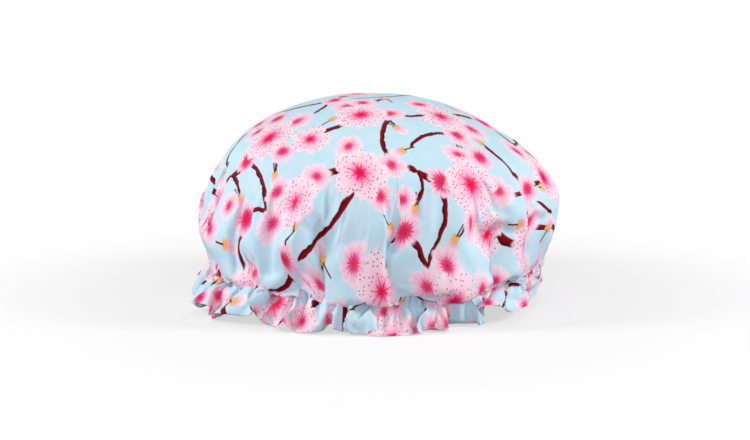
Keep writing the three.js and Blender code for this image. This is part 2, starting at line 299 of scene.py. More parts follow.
def ring_faces():
    """Faces of the cloth, three to a step where a ring has twice the columns of the one above it."""
    faces = []
    for row in range(ROWS - 1):
        upper, lower = RINGS[row][1], RINGS[row + 1][1]
        a, b = STARTS[row], STARTS[row + 1]
        if upper == 1:
            faces += [(a, b + j, b + k) for j, k in neighbours(lower)]
        elif upper == lower:
            faces += band_faces(a, b, upper)
        else:
            for j, k in neighbours(upper):
                left, middle, right = b + 2 * j, b + 2 * j + 1, b + (2 * j + 2) % lower
                faces += [(a + j, left, middle), (a + j, middle, a + k), (a + k, middle, right)]
    return faces


def gather_wave(u):
    drift = GATHER_DRIFT * noise(u, 9, seed=21)
    return (1 + np.cos(GATHERS * TAU * u + drift)) * (1 + GATHER_PLAY * noise(u, 12, seed=8))


def creases(angle, rho):
    """Depth of the crown's creases, and the turn that draws the cloth in to them, at angles of a ring."""
    depth, slip = np.zeros_like(angle), np.zeros_like(angle)
    for crease in CREASES:
        up = np.clip((UPPER_RHO - rho) / crease.run, 0, 1)
        share = (1 - smooth(*CREASE_FADE, up)) * (CREASE_FOOT + (1 - CREASE_FOOT) * smooth(*CREASE_FULL, up))
        middle = math.radians(crease.at + crease.lean * up)
        width = math.radians(crease.width) * (1 + CREASE_SPREAD * up)
        off = (np.mod(angle - middle + math.pi, TAU) - math.pi) / width
        bell = np.exp(-(off**2))
        depth -= share * crease.depth * bell
        slip -= share * CREASE_PULL * width * off * bell
    return depth - CREASE_BALANCE * depth.mean(), slip


def drawn_place(rho, u):
    """Radius, angle and height of a ring of the drawn-in cloth, to which the casing is pinned."""
    angle, height, index, ridge = lobe_wave(u)
    gather = GATHER_DEPTH * gather_wave(u)
    if rho <= UPPER_RHO:
        radius = np.interp(rho, ARC, ARC_RADIUS)
        level = np.full_like(u, np.interp(rho, ARC, ARC_HEIGHT))
        if rho > WIDEST_RHO:
            t = np.interp(rho, ARC[DOME_STEPS:], PUFF_SHARES)
            radius, level = puff(t, PUFF_RADIUS, PUFF_LEVEL + PUFF_PLAY * noise(u, 14, seed=5))
        near = smooth(UPPER_RHO - GATHER_ABOVE, UPPER_RHO, rho)
        fold, slip = creases(angle, rho)
        return radius + fold * (1 - near) + gather * near, angle + slip * (1 - near), level
    if rho <= LOWER_RHO:
        share = (rho - UPPER_RHO) / (LOWER_RHO - UPPER_RHO)
        return NECK_RADIUS + gather, angle, np.full_like(u, UPPER_ROW + (LOWER_ROW - UPPER_ROW) * share)
    t = (rho - LOWER_RHO) / FRILL_WIDTH
    dip, reach = lobe_values("dip", index), lobe_values("reach", ridge)
    rise, lift = lobe_values("rise", index), lobe_values("lift", ridge)
    tuck = np.radians(lobe_values("tuck", index))
    out = dip + (reach - dip) * height**RIDGE_POWER
    up = rise + (lift - rise) * height
    radius = NECK_RADIUS + gather * (1 - GATHER_FADE * t) + out * t**FLARE_POWER
    return radius, angle - tuck * (1 - height) * t, LOWER_ROW * (1 - t) + (up + HEM_LIFT) * t


def rest_profile():
    """Radius and height, against distance from the middle, of the cloth's slack shape."""
    rho = np.linspace(0, HEM_RHO, REST_SAMPLES)
    stations = [0, SNUG_RHO, WIDEST_RHO, UPPER_RHO, HEM_RHO]
    snug = SNUG_EASE * np.interp(SNUG_RHO, ARC, ARC_RADIUS)
    widest = CROWN_RADIUS * SLACK_AT_WIDEST
    casing = (NECK_RADIUS + GATHER_DEPTH) * SLACK_AT_CASING
    radius = np.interp(rho, stations, [0, snug, widest, casing, HEM_REST_RADIUS])
    dome = np.interp(rho, ARC, ARC_RADIUS)
    radius = np.where(rho < SNUG_RHO, dome * SNUG_EASE, radius)
    kernel = np.hanning(2 * REST_SMOOTHING + 1)
    padded = np.pad(radius, REST_SMOOTHING, mode="reflect", reflect_type="odd")
    radius = np.convolve(padded, kernel / kernel.sum(), mode="valid")
    slope = np.clip(1 - np.gradient(radius, rho) ** 2, 0, 1) ** 0.5
    return rho, radius, -running((slope[1:] + slope[:-1]) / 2 * np.diff(rho))


def cloth_points():
    """Drawn-in place and slack place of every point of the cloth, and its place on the flat cut."""
    rest_rho, rest_radius, rest_height = rest_profile()
    drawn, slack, flat = [], [], []
    for rho, count in RINGS:
        u = shares(count)
        radius, angle, height = drawn_place(rho, u) if count > 1 else (0 * u, 0 * u, 0 * u + CROWN_TOP)
        drawn.append(around(radius, angle, height))
        steady = lobe_wave(u)[0]
        trim = RIGHT_TRIM * smooth(UPPER_RHO, HEM_RHO, rho) * smooth(*RIGHT_TRIM_SPAN, np.cos(steady))
        stir = 1 + STIR * creases(steady, rho)[0] * smooth(SNUG_RHO, UPPER_RHO, rho)
        wide = np.interp(rho, rest_rho, rest_radius) * (1 - trim) * stir
        deep = np.full_like(u, np.interp(rho, rest_rho, rest_height))
        slack.append(around(wide, steady, CROWN_TOP + deep))
        flat.append(around(rho, steady, 0 * u)[:, :2])
    return np.concatenate(drawn), np.concatenate(slack), np.concatenate(flat)


def new_object(name, points, faces):
    mesh = bpy.data.meshes.new(name)
    mesh.from_pydata(np.asarray(points, float).tolist(), [], faces)
    mesh.update()
    mesh.polygons.foreach_set("use_smooth", [True] * len(mesh.polygons))
    made = bpy.data.objects.new(name, mesh)
    bpy.context.scene.collection.objects.link(made)
    return made


def coordinates(mesh):
    flat = np.empty(3 * len(mesh.vertices), np.float32)
    mesh.vertices.foreach_get("co", flat)
    return flat.reshape(-1, 3).astype(float)


def form_profile():
    """Radii and levels of the rounded form that fills the crown while its cloth settles."""
    levels = np.linspace(CROWN_TOP - FORM_TOP_INSET, FORM_BOTTOM, FORM_STEPS)
    climb = (levels - WIDEST_LEVEL) / DOME_RISE
    dome = CROWN_RADIUS * np.sqrt(np.clip(1 - climb**2, 0, 1)) - FORM_INSET
    dome = np.where(levels >= WIDEST_LEVEL, dome, CROWN_RADIUS - FORM_INSET)
    inset = FORM_DRAW * smooth(*FORM_MIDDLE, levels) + FORM_DRAW * smooth(*FORM_FOOT, levels)
    return np.maximum(dome - inset, FORM_TIP), levels


def form_object():
    turn = TAU * shares(FORM_COLUMNS)
    points = [(r * math.cos(a), r * math.sin(a), z) for r, z in zip(*form_profile()) for a in turn]
    faces = []
    for start in range(0, len(points) - FORM_COLUMNS, FORM_COLUMNS):
        faces += band_faces(start, start + FORM_COLUMNS, FORM_COLUMNS)
    faces.append(tuple(range(FORM_COLUMNS)))
    return new_object("form", np.array(points) * MM * SIM_SCALE, faces)


def plane(name, size):
    corners = [(-size, -size, 0), (size, -size, 0), (size, size, 0), (-size, size, 0)]
    return new_object(name, corners, [(0, 1, 2, 3)])


def obstacle(thing):
    thing.modifiers.new("Collision", "COLLISION")
    thing.collision.thickness_outer = CONTACT
    thing.collision.cloth_friction = GRIP


def settle(drawn, slack, faces):
    """The cloth's points after its folds have settled, over a form and on a floor that are then removed."""
    scale = MM * SIM_SCALE
    cloth = new_object("settling", slack * scale, faces)
    cloth.shape_key_add(name="slack")
    key = cloth.shape_key_add(name="drawn_in", from_mix=False)
    key.data.foreach_set("co", (drawn * scale).astype(np.float32).ravel())
    for frame_number, value in [(1, 0), (DRAW_FRAMES, 1)]:
        key.value = value
        key.keyframe_insert("value", frame=frame_number)
    pins = cloth.vertex_groups.new(name="casing")
    pins.add(list(range(STARTS[UPPER_INDEX], STARTS[LOWER_INDEX + 1])), 1, "REPLACE")
    crown = cloth.vertex_groups.new(name="crown")
    crown.add(list(range(STARTS[UPPER_INDEX])), 1, "REPLACE")
    form = form_object()
    ground = plane("ground", FLOOR_SIZE)
    obstacle(form)
    obstacle(ground)

    modifier = cloth.modifiers.new("Cloth", "CLOTH")
    settings = modifier.settings
    settings.vertex_group_mass = "casing"
    settings.pin_stiffness = 50
    settings.quality = 6
    settings.mass = 0.06
    settings.air_damping = 2
    settings.tension_stiffness = settings.compression_stiffness = 40
    settings.shear_stiffness = 8
    settings.bending_stiffness = 0.4
    settings.bending_damping = 0.5
    settings.use_pressure = True
    settings.uniform_pressure_force = 0.12
    settings.vertex_group_pressure = "crown"
    contacts = modifier.collision_settings
    contacts.use_collision = True
    contacts.distance_min = CONTACT
    contacts.collision_quality = 2
    contacts.use_self_collision = False
    modifier.point_cache.frame_start = 1
    modifier.point_cache.frame_end = SIM_FRAMES
    scene = bpy.context.scene
    for step in range(1, SIM_FRAMES + 1):
        scene.frame_set(step)
    graph = bpy.context.evaluated_depsgraph_get()
    settled = coordinates(cloth.evaluated_get(graph).data) / scale
    scene.frame_set(1)
    for thing in (cloth, form, ground):
        bpy.data.objects.remove(thing)
    return settled


def hang(points):
    """The settled points with the puffs let down at front and back, and the frill set to its place."""
    x, y, z = points.T
    radius = np.hypot(x, y)
    side = (x / np.maximum(radius, 1)) ** 2
    low = smooth(*SAG_LEVELS, z) * smooth(UPPER_RHO - SAG_END[0], UPPER_RHO - SAG_END[1], RHO)
    outside = smooth(NECK_RADIUS, NECK_RADIUS + DRAW_ROOM, radius)
    inward = 1 - SIDE_DRAW * side * low * outside / np.maximum(radius, 1)
    sag = FRONT_SAG * (1 - side) * low
    frill = np.clip((RHO - LOWER_RHO) / FRILL_WIDTH, 0, 1)
    right, left = frill * smooth(*RIGHT_SIDE, x), frill**FLARE_POWER * smooth(*LEFT_SIDE, -x)
    sag += frill * (FLOOR_GAP + FRILL_SAG * smooth(*FRILL_SAG_LEVELS, z)) - FRILL_LIFT * right
    return np.stack([x * inward - FRILL_DRAW * right - FRILL_REACH * left, y * inward, z - sag], 1)


def clear_of_casing(points):
    """The settled points with the crown moved out, where it hangs past the gathers of the casing."""
    turn = (np.arctan2(points[:, 1], points[:, 0]) / TAU) % 1
    radius = np.hypot(points[:, 0], points[:, 1])
    casing = slice(STARTS[UPPER_INDEX], STARTS[LOWER_INDEX + 1])
    bins = np.zeros(CASING_BINS)
    np.maximum.at(bins, (turn[casing] * CASING_BINS).astype(int), radius[casing])
    ridge = np.maximum.reduce([np.roll(bins, shift) for shift in range(-2, 3)])
    middles = (np.arange(CASING_BINS) + 0.5) / CASING_BINS
    room = np.interp(turn, middles, ridge, period=1) + OVERHANG_GAP
    low = smooth(*OVERHANG_LEVELS, points[:, 2])
    low[STARTS[UPPER_INDEX - 1] :] = 0
    wanted = np.maximum(radius, room)
    moved = radius + (wanted - radius) * low
    scale = moved / np.maximum(radius, 1)
    return points * np.stack([scale, scale, np.ones_like(scale)], 1)


def lean(points):
    """The cap with its lean: a fuller shoulder and belly, and the top and belly drawn to the left."""
    x, y, z = points.T
    shoulder = np.exp(-(((z - SHOULDER_LEVEL) / SHOULDER_SPREAD) ** 2))
    belly = np.exp(-(((z - BELLY_LEVEL) / BELLY_SPREAD) ** 2))
    wider = 1 + shoulder * (SHOULDER_FULLNESS + SHOULDER_LEAN * x / CROWN_RADIUS) + BELLY_FULLNESS * belly
    drawn = TOP_SHIFT * smooth(*TOP_LEVELS, z) + BELLY_SHIFT * belly
    return np.stack([x * wider - drawn, y * (1 + SHOULDER_DEPTH * shoulder), z], 1)


# Colours and the print


def linear(red, green, blue):
    """A colour of the screen's scale, 0 to 255, as the shader's own."""

    def one(value):
        share = value / 255
        return share / 12.92 if share <= 0.04045 else ((share + 0.055) / 1.055) ** 2.4

    return (one(red), one(green), one(blue), 1)


TILE = 168  # side of the print's repeat
Blossom = namedtuple("Blossom", "x y radius turn squash deep")
LARGE = [
    Blossom(30, 44, 22, 0.2, 1.0, 0.1),
    Blossom(112, 84, 24, 1.1, 0.95, 0.2),
    Blossom(66, 144, 22, 2.0, 0.92, 0.0),
    Blossom(147, 16, 22, 0.6, 0.95, 0.15),
    Blossom(152, 72, 19, 2.6, 0.85, 0.05),
    Blossom(13, 108, 21, 1.6, 1.0, 0.15),
]
SMALL = [
    Blossom(53, 58, 15, 0.4, 0.8, 0.15),
    Blossom(49, 31, 13, 2.2, 0.8, 0.3),
    Blossom(17, 66, 14, 1.3, 0.75, 0.1),
    Blossom(131, 100, 16, 0.9, 0.85, 0.1),
    Blossom(130, 62, 14, 2.9, 0.8, 0.35),
    Blossom(92, 68, 12, 1.9, 1.0, 1.0),
    Blossom(95, 102, 14, 0.3, 0.75, 0.15),
    Blossom(90, 150, 16, 0.1, 0.8, 0.1),
    Blossom(86, 126, 15, 2.4, 0.85, 0.25),
    Blossom(44, 154, 14, 1.2, 0.8, 0.3),
    Blossom(122, 6, 15, 0.8, 0.8, 0.15),
    Blossom(164, 36, 14, 2.7, 0.8, 0.1),
    Blossom(128, 28, 13, 0.5, 0.75, 0.4),
    Blossom(88, 20, 13, 1.5, 1.0, 0.9),
    Blossom(33, 118, 14, 1.0, 0.8, 0.2),
    Blossom(165, 124, 15, 0.7, 0.8, 0.15),
    Blossom(148, 140, 13, 2.0, 0.85, 0.5),
    Blossom(6, 132, 14, 2.3, 0.8, 0.15),
    Blossom(108, 116, 13, 1.7, 0.85, 0.6),
    Blossom(72, 38, 12, 0.6, 0.9, 0.2),
]
Twig = namedtuple("Twig", "x y length turn bend start end")
TWIGS = [
    Twig(34, 48, 43, 0.38, 0.1, 3.2, 2.8),
    Twig(72, 63, 45, 0.48, -0.12, 3.0, 2.6),
    Twig(74, 64, 28, -1.18, 0.1, 2.0, 1.2),
    Twig(108, 90, 40, 2.03, 0.12, 2.8, 2.2),
    Twig(150, 76, 43, 0.72, -0.1, 2.9, 2.2),
    Twig(70, 146, 45, 1.11, 0.12, 3.0, 2.4),
    Twig(90, 18, 35, -0.23, 0.14, 2.3, 1.8),
    Twig(150, 20, 47, 0.54, 0.1, 3.2, 2.8),
    Twig(120, 70, 28, -1.42, 0.12, 2.0, 1.2),
    Twig(16, 112, 30, -0.37, 0.12, 1.9, 1.1),
    Twig(60, 140, 33, -2.36, 0.1, 2.2, 1.3),
    Twig(133, 98, 34, 1.2, -0.12, 2.2, 1.4),
    Twig(10, 114, 40, 1.3, 0.1, 2.6, 2.0),
    Twig(52, 60, 58, 1.85, 0.1, 2.4, 1.9),
    Twig(86, 126, 50, -2.07, -0.12, 2.5, 1.3),
    Twig(94, 64, 55, -1.15, 0.12, 2.2, 1.5),
    Twig(148, 140, 44, -3.05, 0.12, 2.6, 1.6),
    Twig(30, 44, 80, -2.07, 0.1, 2.7, 1.6),
    Twig(150, 142, 30, 1.5, 0.1, 2.3, 1.7),
]
Bud = namedtuple("Bud", "x y length turn")
BUDS = [
    Bud(83, 41, 15, -1.1),
    Bud(160, 96, 14, 1.0),
    Bud(105, 136, 14, 3.0),
    Bud(124, 45, 14, -1.4),
    Bud(42, 101, 14, -0.3),
    Bud(60, 79, 14, -2.2),
    Bud(152, 160, 14, 1.2),
    Bud(20, 148, 14, 2.4),
    Bud(62, 14, 14, -0.6),
]
PRINT_TURN = 0.35  # of the repeat against the cap's front, in radians
WOBBLE_LEAST, WOBBLE_SPAN = 0.82, 0.36  # of the outlines' unevenness
SPECK_EDGE, SPECK_CHANCE = (0.2, 0.12), (0.4, 0.42)
HELD = 1e-6  # share of a motif's colour that the next waits for, so that few values are held at once
KINDS = dict.fromkeys(["Place", "Centre", "Scale"], "NodeSocketVector") | {"Under": "NodeSocketColor"}


class Tree:
    """Adds nodes to a node tree by short calls. An input is a socket or a plain value."""

    def __init__(self, tree):
        self.tree = tree

    def add(self, kind, inputs=(), **settings):
        node = self.tree.nodes.new(kind)
        for name, value in settings.items():
            setattr(node, name, value)
        for socket, value in zip(node.inputs, inputs):
            self.put(socket, value)
        return node

    def put(self, socket, value):
        if isinstance(value, bpy.types.NodeSocket):
            self.tree.links.new(value, socket)
        elif value is not None:
            socket.default_value = value

    def math(self, operation, *inputs):
        return self.add("ShaderNodeMath", inputs, operation=operation).outputs[0]

    def times(self, one, other):
        return self.math("MULTIPLY", one, other)

    def scaled(self, value, factor, base):
        """A value times a factor, on top of a base."""
        return self.math("MULTIPLY_ADD", value, factor, base)

    def vector(self, operation, *inputs):
        node = self.add("ShaderNodeVectorMath", inputs, operation=operation)
        return node.outputs["Value" if operation == "LENGTH" else "Vector"]

    def ramp(self, value, low, high):
        node = self.add("ShaderNodeMapRange", (value, low, high, 0.0, 1.0))
        node.interpolation_type = "SMOOTHSTEP"
        return node.outputs[0]

    def colours(self, value, *stops):
        node = self.add("ShaderNodeValToRGB", (value,))
        elements = node.color_ramp.elements
        while len(elements) < len(stops):
            elements.new(0.5)
        for element, (place, colour) in zip(elements, stops):
            element.position = place
            element.color = linear(*colour)
        return node.outputs["Color"]

    def parts(self, place):
        return self.add("ShaderNodeSeparateXYZ", (place,)).outputs

    def position(self):
        return self.add("ShaderNodeNewGeometry").outputs["Position"]

    def texture(self, kind, place, scale, **settings):
        node = self.add(kind, **settings)
        self.put(node.inputs["Vector"], place)
        self.put(node.inputs["Scale"], scale)
        return node

    def noise(self, place, scale, detail, **settings):
        node = self.texture("ShaderNodeTexNoise", place, scale, **settings)
        self.put(node.inputs["Detail"], detail)
        return node.outputs["Fac"]

    def turned(self, place, angle):
        node = self.add("ShaderNodeVectorRotate", rotation_type="Z_AXIS")
        self.put(node.inputs["Vector"], place)
        self.put(node.inputs["Angle"], angle)
        return node.outputs[0]

    def mix(self, share, under, over):
        node = self.tree.nodes.new("ShaderNodeMix")
        node.data_type = "RGBA"
        self.put(node.inputs[0], share)
        self.put(node.inputs[6], under)
        self.put(node.inputs[7], over)
        return node.outputs[2]


def motif_group(draw, labels):
    """A node group that lays a motif over the colour under it."""
    group = bpy.data.node_groups.new(draw.__name__, "ShaderNodeTree")
    for label in ["Under", "Place", "Centre", "Turn", *labels]:
        group.interface.new_socket(label, in_out="INPUT", socket_type=KINDS.get(label, "NodeSocketFloat"))
    group.interface.new_socket("Colour", in_out="OUTPUT", socket_type=KINDS["Under"])
    source = group.nodes.new("NodeGroupInput").outputs
    sink = group.nodes.new("NodeGroupOutput").inputs[0]
    tree = Tree(group)
    tree.put(sink, draw(tree, source))
    return group


def local_place(tree, source):
    """The print's place seen from a motif: wrapped round the repeat and turned."""
    offset = tree.vector("SUBTRACT", source["Place"], source["Centre"])
    wrapped = tree.vector("WRAP", offset, (TILE / 2,) * 3, (-TILE / 2,) * 3)
    return tree.turned(wrapped, source["Turn"])


PETAL_OUTLINE = [(0, 0.91), (0.12, 0.975), (0.35, 1.0), (0.65, 0.95), (0.88, 0.82), (1, 0.66)]


def petals(tree, source):
    """Angle, place from a petal's tip to its side, and distance from the middle as a share of the outline."""
    at = tree.vector("MULTIPLY", local_place(tree, source), source["Scale"])
    parts = tree.parts(at)
    angle = tree.math("ARCTAN2", parts[1], parts[0])
    petal = tree.math("PINGPONG", tree.times(angle, 5 / math.pi), 1.0)
    outline = tree.add("ShaderNodeFloatCurve", (1.0, petal))
    curve = outline.mapping.curves[0]
    for x, y in PETAL_OUTLINE[1:-1]:
        curve.points.new(x, y)
    for point, place in zip(curve.points, PETAL_OUTLINE):
        point.location = place
    outline.mapping.update()
    edge = tree.times(outline.outputs[0], source["Wobble"])
    return angle, petal, tree.math("DIVIDE", tree.vector("LENGTH", at), edge)


LARGE_COLOURS = [
    (0.0, (232, 10, 66)),
    (0.1, (240, 30, 88)),
    (0.19, (246, 104, 152)),
    (0.32, (251, 176, 206)),
    (0.55, (252, 212, 227)),
    (1.0, (253, 231, 239)),
]
SMALL_COLOURS = [
    (0.0, (222, 36, 92)),
    (0.08, (236, 92, 140)),
    (0.14, (224, 30, 90)),
    (0.23, (242, 112, 160)),
    (0.4, (250, 188, 212)),
    (1.0, (252, 234, 242)),
]
# Petals: veins round the blossom, where the sides begin, how far veins, sides and a deep blossom are tinted
# towards the middle's colour, the soft edge, and the colours from the middle out
Petals = namedtuple("Petals", "veins side vein_tint side_tint deep_tint edge colours")
LARGE_PETALS = Petals(31.0, 0.7, 0.045, 0.16, 0.2, (1.07, 0.9), LARGE_COLOURS)
SMALL_PETALS = Petals(15.0, 0.72, 0.08, 0.22, 0.3, (1.1, 0.84), SMALL_COLOURS)
VEIN_SHIFT = 40.0  # radians of the veins for each unit of the wobble
STAMENS = 9
STAMEN_WIDTH = (0.06, 0.015)
STAMEN_REACH, STAMEN_PLAY, STAMEN_WAVES = 0.46, 0.1, 7.0
SPECKS_FROM = (0.25, 0.45)


def petal_colour(tree, source, kind, petal, share, veins):
    between = tree.times(tree.ramp(petal, kind.side, 1.0), tree.ramp(share, 1.0, 0.3))
    tone = tree.scaled(veins, kind.vein_tint, share)
    tone = tree.scaled(between, -kind.side_tint, tone)
    tone = tree.scaled(source["Deep"], -kind.deep_tint, tone)
    return tree.colours(tone, *kind.colours)


def large_blossom(tree, source):
    """An open blossom with veins, stamens and the specks of their tips."""
    angle, petal, share = petals(tree, source)
    shift = tree.times(source["Wobble"], VEIN_SHIFT)
    veins = tree.math("SINE", tree.scaled(angle, LARGE_PETALS.veins, shift))
    colour = petal_colour(tree, source, LARGE_PETALS, petal, share, veins)
    stamen = tree.math("PINGPONG", tree.times(angle, STAMENS / math.pi), 1.0)
    thin = tree.ramp(tree.times(stamen, share), *STAMEN_WIDTH)
    reach = tree.scaled(tree.math("SINE", tree.times(angle, STAMEN_WAVES)), STAMEN_PLAY, STAMEN_REACH)
    short = tree.ramp(tree.math("SUBTRACT", reach, share), 0.0, 0.06)
    colour = tree.mix(tree.times(thin, short), colour, linear(222, 20, 84))
    specked = tree.times(source["Specks"], tree.ramp(share, *SPECKS_FROM))
    colour = tree.mix(specked, colour, linear(140, 46, 88))
    return tree.mix(tree.ramp(share, *LARGE_PETALS.edge), source["Under"], colour)


def small_blossom(tree, source):
    """A small blossom, of like petals without stamens and specks."""
    angle, petal, share = petals(tree, source)
    veins = tree.math("SINE", tree.times(angle, SMALL_PETALS.veins))
    cover = tree.ramp(share, *SMALL_PETALS.edge)
    colour = petal_colour(tree, source, SMALL_PETALS, petal, share, veins)
    return tree.mix(cover, source["Under"], colour)


TWIG_WANDER, TWIG_KNOTS = 9.0, 1.8  # strength of its wobble, sideways and in thickness
TWIG_TAPER, TWIG_END = (0.52, 0.42), (0.51, 0.49)  # from its middle, as shares of its length
TWIG_EDGE = (1.12, 0.85)


def twig(tree, source):
    """A bent, tapering length of twig, lit from one side."""
    parts = tree.parts(local_place(tree, source))
    share = tree.math("DIVIDE", parts[0], source["Length"])
    arch = tree.times(share, tree.math("SUBTRACT", 1.0, share))
    rise = tree.times(tree.times(arch, source["Bend"]), source["Length"])
    across = tree.scaled(rise, -4.0, parts[1])
    across = tree.scaled(tree.math("SUBTRACT", source["Wobble"], 1.0), TWIG_WANDER, across)
    taper = tree.math("SUBTRACT", source["End"], source["Start"])
    middle = tree.math("ABSOLUTE", tree.math("SUBTRACT", share, 0.5))
    knots = tree.math("POWER", source["Wobble"], TWIG_KNOTS)
    thick = tree.times(tree.scaled(taper, share, source["Start"]), knots)
    thick = tree.times(thick, tree.ramp(middle, *TWIG_TAPER))
    ratio = tree.math("DIVIDE", across, thick)
    body = tree.ramp(tree.math("ABSOLUTE", ratio), *TWIG_EDGE)
    inside = tree.ramp(middle, *TWIG_END)
    colour = tree.colours(
        tree.scaled(ratio, 0.5, 0.5),
        (0.1, (52, 0, 10)),
        (0.5, (122, 0, 18)),
        (0.95, (150, 2, 26)),
    )
    return tree.mix(tree.times(body, inside), source["Under"], colour)


# A bud's parts, as shares of its length
BUD_MIDDLE, BUD_SLIMNESS, BUD_EDGE = 0.6, 1.6, (0.2, 0.14)
CUP_REACH, CUP_POINTS, CUP_PLAY = 0.34, 34.0, 0.1
CUP_EDGE, CUP_SIDE, CUP_FOOT = (0.0, -0.08), (0.26, 0.2), (0.0, 0.06)
STALK_SIDE, STALK_TOP, STALK_FOOT = (0.06, 0.035), (0.12, 0.06), (-0.62, -0.55)


def bud(tree, source):
    """A closed bud in its cup, on a short stalk."""
    parts = tree.parts(local_place(tree, source))
    share = tree.math("DIVIDE", parts[0], source["Length"])
    across = tree.math("ABSOLUTE", tree.math("DIVIDE", parts[1], source["Length"]))
    along = tree.math("POWER", tree.math("ABSOLUTE", tree.math("SUBTRACT", share, BUD_MIDDLE)), 2.0)
    oval = tree.scaled(tree.math("POWER", across, 2.0), BUD_SLIMNESS, along)
    tint = tree.colours(
        tree.scaled(across, 0.8, share),
        (0.2, (244, 132, 172)),
        (0.6, (250, 196, 216)),
        (1.0, (253, 232, 238)),
    )
    colour = tree.mix(tree.ramp(oval, *BUD_EDGE), source["Under"], tint)
    spread = tree.scaled(tree.math("SINE", tree.times(across, CUP_POINTS)), CUP_PLAY, CUP_REACH)
    inside = tree.ramp(tree.math("SUBTRACT", share, spread), *CUP_EDGE)
    cup = tree.times(inside, tree.ramp(across, *CUP_SIDE))
    cup = tree.times(cup, tree.ramp(share, *CUP_FOOT))
    colour = tree.mix(cup, colour, linear(240, 186, 92))
    stalk = tree.times(tree.ramp(across, *STALK_SIDE), tree.ramp(share, *STALK_TOP))
    stalk = tree.times(stalk, tree.ramp(share, *STALK_FOOT))
    return tree.mix(stalk, colour, linear(124, 24, 40))


def motif_values(motif):
    """Inputs of a motif's group, by name."""
    values = {label.capitalize(): value for label, value in motif._asdict().items()}
    values.update(Centre=(motif.x, motif.y, 0), Turn=-motif.turn)
    if isinstance(motif, Blossom):
        values["Scale"] = (1 / motif.radius, 1 / (motif.radius * motif.squash), 0)
    return values


def print_colour(tree, place):
    """The printed design at a place on the flat cut, in millimetres."""
    place = tree.turned(place, PRINT_TURN)
    grain = tree.noise(place, scale=0.11, detail=2, noise_dimensions="2D")
    wobble = tree.scaled(grain, WOBBLE_SPAN, WOBBLE_LEAST)
    dots = tree.texture("ShaderNodeTexVoronoi", place, scale=0.32, voronoi_dimensions="2D").outputs
    chance = tree.add("ShaderNodeSeparateColor", (dots["Color"],)).outputs[0]
    specks = tree.times(tree.ramp(dots["Distance"], *SPECK_EDGE), tree.ramp(chance, *SPECK_CHANCE))
    colour = tree.colours(grain, (0.2, (190, 230, 241)), (0.8, (208, 230, 244)))
    for draw, labels, motifs in [
        (twig, ["Length", "Bend", "Start", "End", "Wobble"], TWIGS),
        (bud, ["Length"], BUDS),
        (small_blossom, ["Scale", "Deep", "Wobble"], SMALL),
        (large_blossom, ["Scale", "Deep", "Wobble", "Specks"], LARGE),
    ]:
        group = motif_group(draw, labels)
        for motif in motifs:
            node = tree.add("ShaderNodeGroup", node_tree=group)
            values = {"Under": colour, "Place": place, "Wobble": wobble, "Specks": specks}
            values.update(motif_values(motif))
            for socket in node.inputs:
                tree.put(socket, values[socket.name])
            colour = node.outputs[0]
            place = tree.vector("MULTIPLY_ADD", colour, (HELD, HELD, 0), place)
    return colour


WEAVE_TURNS = TAU / 0.7  # a thread of the weave each 0.35 mm
RIB_PITCH = 0.8 * MM
ELASTIC_WEFTS = 900.0


def new_material(name, inputs):
    made = bpy.data.materials.new(name)
    made.use_nodes = True
    surface = made.node_tree.nodes["Principled BSDF"]
    for label, value in inputs.items():
        surface.inputs[label].default_value = value
    return made, Tree(made.node_tree), surface


def dress(tree, surface, colour, height, distance):
    """Gives a surface its colour, and bumps by a height of 0 to 1 that stands for a distance in metres."""
    tree.put(surface.inputs["Base Color"], colour)
    bump = tree.add("ShaderNodeBump")
    bump.inputs["Distance"].default_value = distance
    tree.put(bump.inputs["Height"], height)
    tree.put(surface.inputs["Normal"], bump.outputs[0])


def flat_place(tree):
    return tree.add("ShaderNodeAttribute", attribute_name="flat").outputs["Vector"]


def printed_cloth():
    """Satin-faced polyester with the print, a fine weave and the small crumples of thin cloth."""
    look = {"Roughness": 0.55, "Sheen Weight": 0.01, "Sheen Roughness": 0.4, "Specular IOR Level": 0.06}
    made, tree, surface = new_material("printed_cloth", look)
    place = flat_place(tree)
    colour = print_colour(tree, place)
    parts = tree.parts(tree.vector("SCALE", place, None, None, WEAVE_TURNS))
    weave = tree.times(tree.math("SINE", parts[0]), tree.math("SINE", parts[1]))
    crumple = tree.noise(place, scale=0.09, detail=3)
    dress(tree, surface, colour, tree.scaled(weave, 0.04, crumple), distance=0.0007)
    return made


def film():
    """Frosted waterproof film, with the soft wrinkles that it takes in the gathers; its pale colour is darker
    in the wrinkles' hollows as painted shade that follows the bump.
    """
    made, tree, surface = new_material("lining_film", {"Roughness": 0.32, "Specular IOR Level": 0.5})
    wrinkle = tree.noise(flat_place(tree), scale=0.16, detail=4)
    # the film's pale colour, with painted shade: darker where the wrinkles' bump is low
    film_tint_and_wrinkle_shade = tree.colours(wrinkle, (0.3, (198, 222, 231)), (0.7, (220, 238, 244)))
    dress(tree, surface, film_tint_and_wrinkle_shade, wrinkle, distance=0.002)
    return made


def twisted_thread():
    """Spun sewing thread: fine slanting plies, its colour darker in the grooves between them as painted shade
    that follows the bump.
    """
    made, tree, surface = new_material("thread", {"Roughness": 0.55, "Sheen Weight": 0.2})
    bands = {"wave_type": "BANDS", "bands_direction": "DIAGONAL"}
    ply = tree.texture("ShaderNodeTexWave", tree.position(), scale=900, **bands).outputs["Fac"]
    # painted shade: the colour darkens where the plies' bump is low, in the grooves between them
    groove_shade = tree.colours(ply, (0.0, (164, 205, 224)), (1.0, (206, 235, 245)))
    dress(tree, surface, groove_shade, ply, distance=0.00008)
    return made


